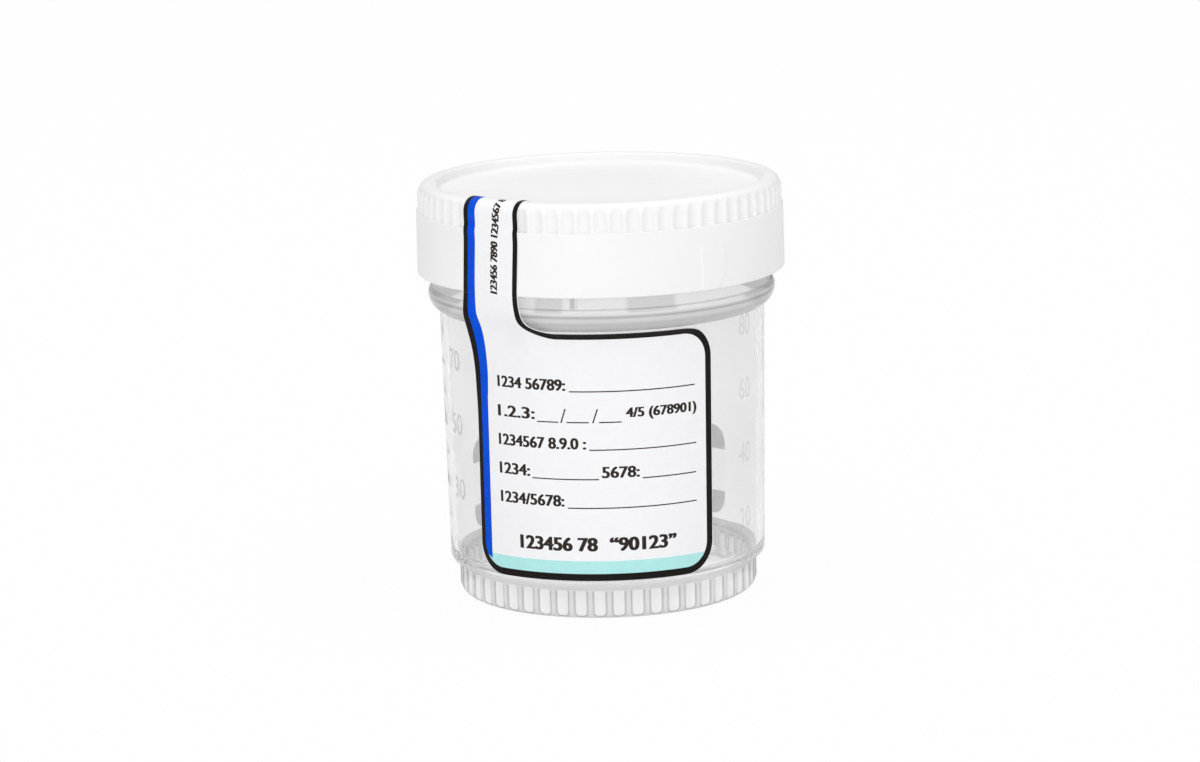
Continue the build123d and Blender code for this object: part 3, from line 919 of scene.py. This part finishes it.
class Surface(Nodes):
    """A new node material with its Principled shader."""

    def __init__(self, name):
        self.material = bpy.data.materials.new(name)
        self.material.use_nodes = True
        super().__init__(self.material.node_tree)
        self.shader = self.tree.nodes["Principled BSDF"]
        self.light = self.shader.outputs["BSDF"]

    def give(self, inputs):
        """Feeds the Principled shader's inputs by their names."""
        for name, value in inputs.items():
            self.feed(self.shader.inputs[name], value)

    def bump(self, height, strength, distance):
        """Bends the normals by a height between 0 and 1, which stands for a distance in metres."""
        inputs = {"Height": height, "Strength": strength, "Distance": distance}
        self.give({"Normal": self.add("Bump", inputs)["Normal"]})

    def show(self, shader):
        """Puts another shader on the surface."""
        self.feed(self.tree.nodes["Material Output"].inputs["Surface"], shader)

    def let_lamps_through(self, tint):
        """Shadow rays pass straight through a clear surface, so that lamps light what is behind it."""
        clear = self.add("BsdfTransparent", {"Color": grey(tint)})[0]
        self.show(self.mixed(self.add("LightPath", {})["Is Shadow Ray"], self.light, clear))


# Below the 1.49 of solid polypropylene, because this wall's milky body blurs most of its bending of light
CLEAR_IOR = 1.1


def clear_plastic():
    """Clarified polypropylene: clear with a milky cast, and glossy."""
    surface = Surface("clear_polypropylene")
    surface.give({
        "Transmission Weight": 0.93,
        "IOR": CLEAR_IOR,
        "Base Color": surface.mottled(surface.noise(60.0), srgb(243, 243, 243), srgb(247, 247, 247)),
        "Roughness": surface.mottled(surface.noise(220.0), grey(0.03), grey(0.07)),
    })
    surface.bump(surface.noise(90.0, 2.0), 0.01, 0.0002)
    surface.let_lamps_through(0.96)
    return surface.material


def frosted_plastic():
    """The same polypropylene where the mould is textured, on the floor and under it."""
    surface = Surface("frosted_polypropylene")
    grain = surface.noise(900.0)
    surface.give({
        "Transmission Weight": 0.85,
        "IOR": 1.005,
        "Base Color": surface.mottled(grain, srgb(252, 252, 252), srgb(255, 255, 255)),
        "Roughness": surface.mottled(grain, grey(0.3), grey(0.42)),
    })
    surface.bump(grain, 0.1, 0.00005)
    surface.let_lamps_through(0.9)
    return surface.material


# Foot's flutes: painted shade, grey by tenths of a millimetre outwards from a clear panel's rounded edge,
# which is at 10
FLUTE_HALF = 1.05
FLUTE_ROUNDING = 0.8
FLUTE_LOW = 0.45
FLUTE_PAINTED_SHADES = ((8.0, 0.92), (8.9, 0.52), (10.8, 0.52), (12.2, 0.76))
FOOT_EDGE_PAINTED_SHADE = 0.52

# Bands above the flutes and on the bead: painted shade, grey by height in millimetres
BAND_PAINTED_SHADES = (
    (4.65, 0.92), (4.75, 0.55), (4.95, 0.55), (5.1, 0.73), (5.4, 0.84),
    (5.6, 0.73), (5.9, 0.9), (6.2, 0.72), (6.45, 0.92), (6.6, 0.96),
)
BEAD_PAINTED_SHADES = (
    (47.5, 0.8), (47.65, 0.54), (49.1, 0.5), (49.25, 0.68),
    (49.9, 0.68), (50.0, 0.4), (50.3, 0.4), (50.42, 0.9),
)

# Neck: its grey, the painted shade of its click ribs, and that of two soft patches of painted reflection at
# (bearing, near edge, far edge)
NECK_TONE = 0.96
RIB_PAINTED_SHADE = 0.55
NECK_SHADES = ((-17.9, 3.9, 5.6), (16.4, 7.0, 9.6))
NECK_SHADE_TONE = 0.76


def milky_plastic(name, painted_shade_of, transmission, sheen):
    """The same polypropylene where it is thickest and cloudiest, in a grey of painted shade by bearing and
    height.
    """
    surface = Surface(name)
    cloud = surface.mottled(surface.noise(200.0), grey(0.96), grey(1.0))
    surface.give({
        "Transmission Weight": transmission,
        "IOR": CLEAR_IOR,
        "Sheen Weight": sheen,
        "Sheen Roughness": 0.3,
        "Base Color": surface.maths("MULTIPLY", painted_shade_of(surface, *surface.cup_axes()), cloud),
        "Roughness": surface.mottled(surface.noise(220.0), grey(0.12), grey(0.2)),
    })
    surface.let_lamps_through(0.9)
    return surface.material


def foot_grey(nodes, bearing, height):
    """Painted shade: rounded clear panels between grey edges, under grey bands along the step."""
    maths = nodes.maths
    from_ridge = maths("PINGPONG", bearing, pi / FOOT_FLUTES)
    across = maths("MULTIPLY", maths("SUBTRACT", pi / FOOT_FLUTES, from_ridge), FOOT_RADIUS)
    beyond = maths("MAXIMUM", maths("SUBTRACT", across, FLUTE_HALF - FLUTE_ROUNDING), 0.0)
    below = maths("MAXIMUM", maths("SUBTRACT", FLUTE_LOW + FLUTE_ROUNDING, height), 0.0)
    squares = maths("ADD", maths("MULTIPLY", beyond, beyond), maths("MULTIPLY", below, below))
    outside = maths("SUBTRACT", maths("SQRT", squares), FLUTE_ROUNDING)
    flute = nodes.graded(maths("MULTIPLY_ADD", outside, 10.0, 10.0), FLUTE_PAINTED_SHADES)
    flute = maths("MINIMUM", flute, nodes.stepped(height, 0.3, 0.5, FOOT_EDGE_PAINTED_SHADE, 1.0))
    above = nodes.stepped(height, FOOT_TOP - 0.25, FOOT_TOP - 0.15, 0.0, 1.0)
    band = maths("MULTIPLY", nodes.graded(height, BAND_PAINTED_SHADES), above)
    return maths("ADD", band, maths("MULTIPLY", flute, maths("SUBTRACT", 1.0, above)))


def bead_grey(nodes, bearing, height):
    """Painted shade in bands along the bead, the same all round."""
    return nodes.graded(height, BEAD_PAINTED_SHADES)


def neck_grey(nodes, bearing, height):
    """Painted shade on the click ribs and two soft patches of painted reflection on a nearly clear neck."""
    maths = nodes.maths
    from_rib = maths("PINGPONG", maths("SUBTRACT", bearing, radians(CLICK_BEARING - 360)), pi / STARTS)
    beside_rib = nodes.stepped(from_rib, 0.014, 0.018, RIB_PAINTED_SHADE, NECK_TONE)
    below_rib = nodes.stepped(height, 51.3, 51.6, NECK_TONE, 0.0)
    tone = maths("MAXIMUM", beside_rib, below_rib)
    for middle, near, far in NECK_SHADES:
        away = maths("ABSOLUTE", maths("SUBTRACT", bearing, radians(middle)))
        shade = nodes.stepped(away, radians(near), radians(far), NECK_SHADE_TONE, 1.0)
        tone = maths("MULTIPLY", tone, shade)
    return tone


def faint_plastic(name, scale, darker, lighter, smoother, opacity):
    """Plastic too thin to hide what is behind it, such as film, or fine relief moulded on a clear wall, whose
    grey there is painted shade.
    """
    surface = Surface(name)
    grain = surface.noise(scale)
    surface.give({
        "Base Color": surface.mottled(grain, srgb(*darker), srgb(*lighter)),
        "Roughness": surface.mottled(grain, grey(smoother), grey(0.4)),
        "Alpha": opacity,
    })
    return surface.material


def white_plastic(name, shine):
    """White polyethylene: a soft sheen over a very fine moulded texture."""
    surface = Surface(name)
    surface.give({
        "Base Color": surface.mottled(surface.noise(35.0), srgb(243, 243, 243), srgb(248, 248, 248)),
        "Roughness": surface.mottled(surface.noise(300.0), grey(0.34), grey(0.46)),
        "Specular IOR Level": shine,
    })
    surface.bump(surface.noise(900.0, 2.0), 0.08, 0.00005)
    return surface.material


def foam():
    """Closed-cell foam: matt, with fine rounded cells."""
    surface = Surface("white_foam")
    cells = surface.add("TexVoronoi", {"Vector": surface.place(), "Scale": 1800.0})["Distance"]
    surface.give({
        "Base Color": surface.mottled(cells, srgb(236, 235, 230), srgb(224, 223, 217)),
        "Roughness": surface.mottled(cells, grey(0.75), grey(0.95)),
        "Specular IOR Level": 0.2,
    })
    surface.bump(cells, 0.5, 0.0001)
    return surface.material


def print_material(name, colour, spread=6, shine=0.2, opacity=1.0):
    """Coated paper or the ink on it: slight mottling of the colour and a fine paper grain."""
    surface = Surface(name)
    darker = [max(0, channel - spread) for channel in colour]
    grain = surface.noise(2500.0)
    surface.give({
        "Base Color": surface.mottled(surface.noise(700.0, 4.0), srgb(*darker), srgb(*colour)),
        "Roughness": surface.mottled(grain, grey(0.39), grey(0.51)),
        "Specular IOR Level": shine,
        "Alpha": opacity,
    })
    surface.bump(grain, 0.06, 0.00003)
    return surface.material


def dress(obj, *materials):
    """Gives an object its materials, in the order of their numbers on its faces."""
    for mat in materials:
        obj.data.materials.append(mat)


# Temperature strip: clear film with a grey bar along its top and its bottom, and a scale between them
REAR_BEARING = 184.7
REAR_HALF = 25.6
REAR_BOTTOM = 7.5
REAR_TOP = 22.7
REAR_CORNER = 3.0
REAR_BAR = 3.95
REAR_LEAN = 0.0123
SCALE_HALF = 15.0
SCALE_BOTTOM = 12.6
SCALE_TOP = 17.0
SCALE_GAP = 0.4
SCALE_NUMBERS = ("90", "92", "94", "96", "98", "100")
DIGIT_HALF = 0.62
DIGIT_BOTTOM = 13.8
DIGIT_TOP = 15.8
BAR, SCALE, DIGITS = range(1, 4)


def wall_point(s, v, lift):
    """Place on the cup's wall of a point s to the right of the front and v high."""
    x, y = ring(body_radius(v) + WALL_CLEARANCE + lift, np.degrees(s / MEAN_RADIUS))
    return np.stack([x, y, v], axis=-1)


def rear_point(s, v, lift):
    """Place on the wall of a point of the flat temperature strip, which leans a little."""
    height = v - REAR_LEAN * (REAR_HALF + s)
    return wall_point(radians(REAR_BEARING) * MEAN_RADIUS + s, height, PAPER_GAP + lift)


def rounded_rectangle(left, right, bottom, top, rounding, steps):
    """Closed outline of an upright rectangle with rounded corners."""
    corners = [(x, y, rounding) for x, y in rectangle(left, right, bottom, top)]
    return rounded(corners, steps=steps, closed=True)


def temperature_strip():
    """The strip on the back of the wall, with plain numbers on its scale."""
    outline = rounded_rectangle(-REAR_HALF, REAR_HALF, REAR_BOTTOM, REAR_TOP, REAR_CORNER, 10)
    outline = subdivided(outline, 0.5, closed=True)
    inks = [
        (loop_edges(clip_below(outline, REAR_BOTTOM + REAR_BAR)), BAR),
        (loop_edges(clip_above(outline, REAR_TOP - REAR_BAR)), BAR),
    ]
    width = 2 * SCALE_HALF / len(SCALE_NUMBERS)
    for index, number in enumerate(SCALE_NUMBERS):
        middle = -SCALE_HALF + width * (index + 0.5)
        half = (width - SCALE_GAP) / 2
        window = rounded_rectangle(middle - half, middle + half, SCALE_BOTTOM, SCALE_TOP, 0.5, 6)
        inks.append((loop_edges(window), SCALE))
        half = DIGIT_HALF * len(number)
        digits = glyph_edges(number, middle - half, middle + half, DIGIT_BOTTOM, DIGIT_TOP, weight=0.03)
        inks.append((digits, DIGITS))
    obj = printed_sheet("temperature_film", loop_edges(outline), inks, rear_point, PAPER, see_through=True)
    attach(obj, "cup")
    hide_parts("temperature_strip")
    dress(
        obj,
        faint_plastic("strip_film", 400.0, (238, 239, 239), (248, 248, 248), 0.3, 0.04),
        print_material("strip_bar", (246, 246, 246), opacity=0.66),
        print_material("strip_scale", (30, 32, 33)),
        print_material("strip_digits", (206, 214, 208)),
    )


# Marks moulded on the cup's wall: plain graduation numbers in two columns, and a plain ring, in a faint grey
# that is painted shade for the relief's edges.
# The numbers stand above their marks, the higher ones further.
MARK_RELIEF = 0.05
MARK_PAINTED_SHADES = ((150, 151, 152), (170, 171, 172))
NUMBER_HALF_HEIGHT = 1.75
NUMBER_RISE = 0.025
NUMBER_START = 7
NUMBER_COLUMNS = {(-70.2, -61.5): (10, 30, 50, 70), (55.5, 63.0): (20, 40, 60, 80)}
RING_BEARING = 87.0
RING_HEIGHT = 40.5
RING_RADIUS = 4.6
RING_WIDTH = 0.35


def moulded_marks():
    """The graduation numbers and the ring, each its own thin piece on the wall, in greys of painted shade."""
    clearer = faint_plastic("moulded_edges", 500.0, *MARK_PAINTED_SHADES, 0.25, 0.22)
    fainter = faint_plastic("fainter_relief_painted_shade", 500.0, *MARK_PAINTED_SHADES, 0.25, 0.1)
    marks = []
    for (left, right), numbers in NUMBER_COLUMNS.items():
        for number in numbers:
            middle = graduation_height(number) + NUMBER_RISE * (number - NUMBER_START)
            sides = radians(left) * MEAN_RADIUS, radians(right) * MEAN_RADIUS
            ends = middle - NUMBER_HALF_HEIGHT, middle + NUMBER_HALF_HEIGHT
            edges = glyph_edges(str(number), *sides, *ends, weight=0.006)
            marks.append((f"graduation_{number}", edges, clearer if left < 0 else fainter))
    turns = np.linspace(0, 2 * pi, 48, endpoint=False)
    circle = np.stack([np.cos(turns), np.sin(turns)], axis=-1)
    centre = (radians(RING_BEARING) * MEAN_RADIUS, RING_HEIGHT)
    rims = [loop_edges(circle * size + centre) for size in (RING_RADIUS, RING_RADIUS - RING_WIDTH)]
    marks.append(("wall_ring", np.vstack(rims), fainter))
    for name, edges, finish in marks:
        obj = printed_sheet(name, edges, [], wall_point, MARK_RELIEF)
        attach(obj, "cup")
        dress(obj, finish)


# Stage, light and camera: the floor and the world look white, and light the object at lower strengths
FLOOR_SIZE = 8.0
FLOOR_GREY = 0.88
FLOOR_GLOW = 0.95
AMBIENT = 1.05
AMBIENT_BEHIND = 0.45
AMBIENT_SIDES = 0.55
AMBIENT_FROM = (0.0, -0.86, 0.5)


def stage():
    """A pale floor, whose own glow keeps the object's shadow."""
    bpy.ops.mesh.primitive_plane_add(size=FLOOR_SIZE, location=(0, 0, 0))
    floor = bpy.context.object
    floor.name = "floor"
    surface = Surface("pale_floor")
    surface.give({"Base Color": grey(FLOOR_GREY), "Roughness": 0.9})
    glow = surface.add("Emission", {})[0]
    share = surface.maths("MULTIPLY", surface.seen_directly(), FLOOR_GLOW)
    surface.show(surface.mixed(share, surface.light, glow))
    dress(floor, surface.material)


def world():
    """Soft light from all round, weaker from behind and the sides, and a backdrop that is seen as white."""
    scene_world = bpy.data.worlds.new("studio")
    bpy.context.scene.world = scene_world
    scene_world.use_nodes = True
    nodes = Nodes(scene_world.node_tree)
    nodes.tree.nodes.clear()
    direction = nodes.add("TexCoord", {})["Generated"]
    facing = nodes.add("VectorMath", {0: direction, 1: AMBIENT_FROM}, operation="DOT_PRODUCT")["Value"]
    sideways = nodes.maths("ABSOLUTE", nodes.add("SeparateXYZ", {0: direction})[0])
    strength = nodes.maths(
        "MULTIPLY",
        nodes.stepped(facing, -0.85, 0.35, AMBIENT_BEHIND, AMBIENT),
        nodes.stepped(sideways, 0.4, 1.0, 1.0, AMBIENT_SIDES),
    )
    ambient = nodes.add("Background", {"Color": grey(1.0), "Strength": strength})[0]
    white = nodes.add("Background", {"Color": grey(1.0), "Strength": 1.0})[0]
    nodes.add("OutputWorld", {"Surface": nodes.mixed(nodes.seen_directly(), ambient, white)})


def softbox(name, place, size, watts):
    """Square area lamp that faces the object's middle."""
    light = bpy.data.lights.new(name, "AREA")
    light.size = size
    light.energy = watts
    obj = bpy.data.objects.new(name, light)
    bpy.context.scene.collection.objects.link(obj)
    obj.location = place
    obj.rotation_euler = (Vector((0, 0, 0.035)) - Vector(place)).to_track_quat("-Z", "Y").to_euler()


def camera():
    """The photograph's camera."""
    data = bpy.data.cameras.new("camera")
    data.lens = LENS
    data.clip_start = 0.01
    obj = bpy.data.objects.new("camera", data)
    bpy.context.scene.collection.objects.link(obj)
    rise = radians(ELEVATION)
    obj.location = (Vector(AIM) + Vector((0, -cos(rise), sin(rise))) * DISTANCE) * MM
    turn = Euler((pi / 2 - rise, 0, 0)).to_matrix() @ Matrix.Rotation(radians(ROLL), 3, "Z")
    obj.rotation_euler = turn.to_euler()
    bpy.context.scene.camera = obj


# The fluted foot, the bead and the neck take their greys from painted shade
dress(
    cup(),
    clear_plastic(),
    frosted_plastic(),
    milky_plastic("fluted_polypropylene", foot_grey, 0.35, 0.2),
    milky_plastic("bead_polypropylene", bead_grey, 0.4, 0.9),
    milky_plastic("neck_polypropylene", neck_grey, 0.6, 0.9),
)
moulded_marks()
dress(cap(), white_plastic("white_polyethylene", 0.5), white_plastic("matt_white_polyethylene", 0.05))
for piece in label():
    dress(
        piece,
        print_material("label_white", (246, 246, 248), 2),
        print_material("ink_black", (26, 23, 20), 4, shine=0.1),
        print_material("ink_blue", (1, 84, 221), 8, shine=0.06),
        print_material("ink_teal", (182, 238, 236), 6),
        print_material("ink_text", (52, 45, 41), 8, shine=0.1),
    )
temperature_strip()
disc = frame["nodes"]["sealing_disc"]
disc.data.materials.clear()
dress(disc, foam())
stage()
world()
softbox("key_softbox", (-0.1, -1.0, 0.15), 0.7, 1.5)
softbox("top_softbox", (0.0, 0.1, 0.95), 0.8, 1.4)
camera()
bpy.context.scene.view_settings.view_transform = "Standard"
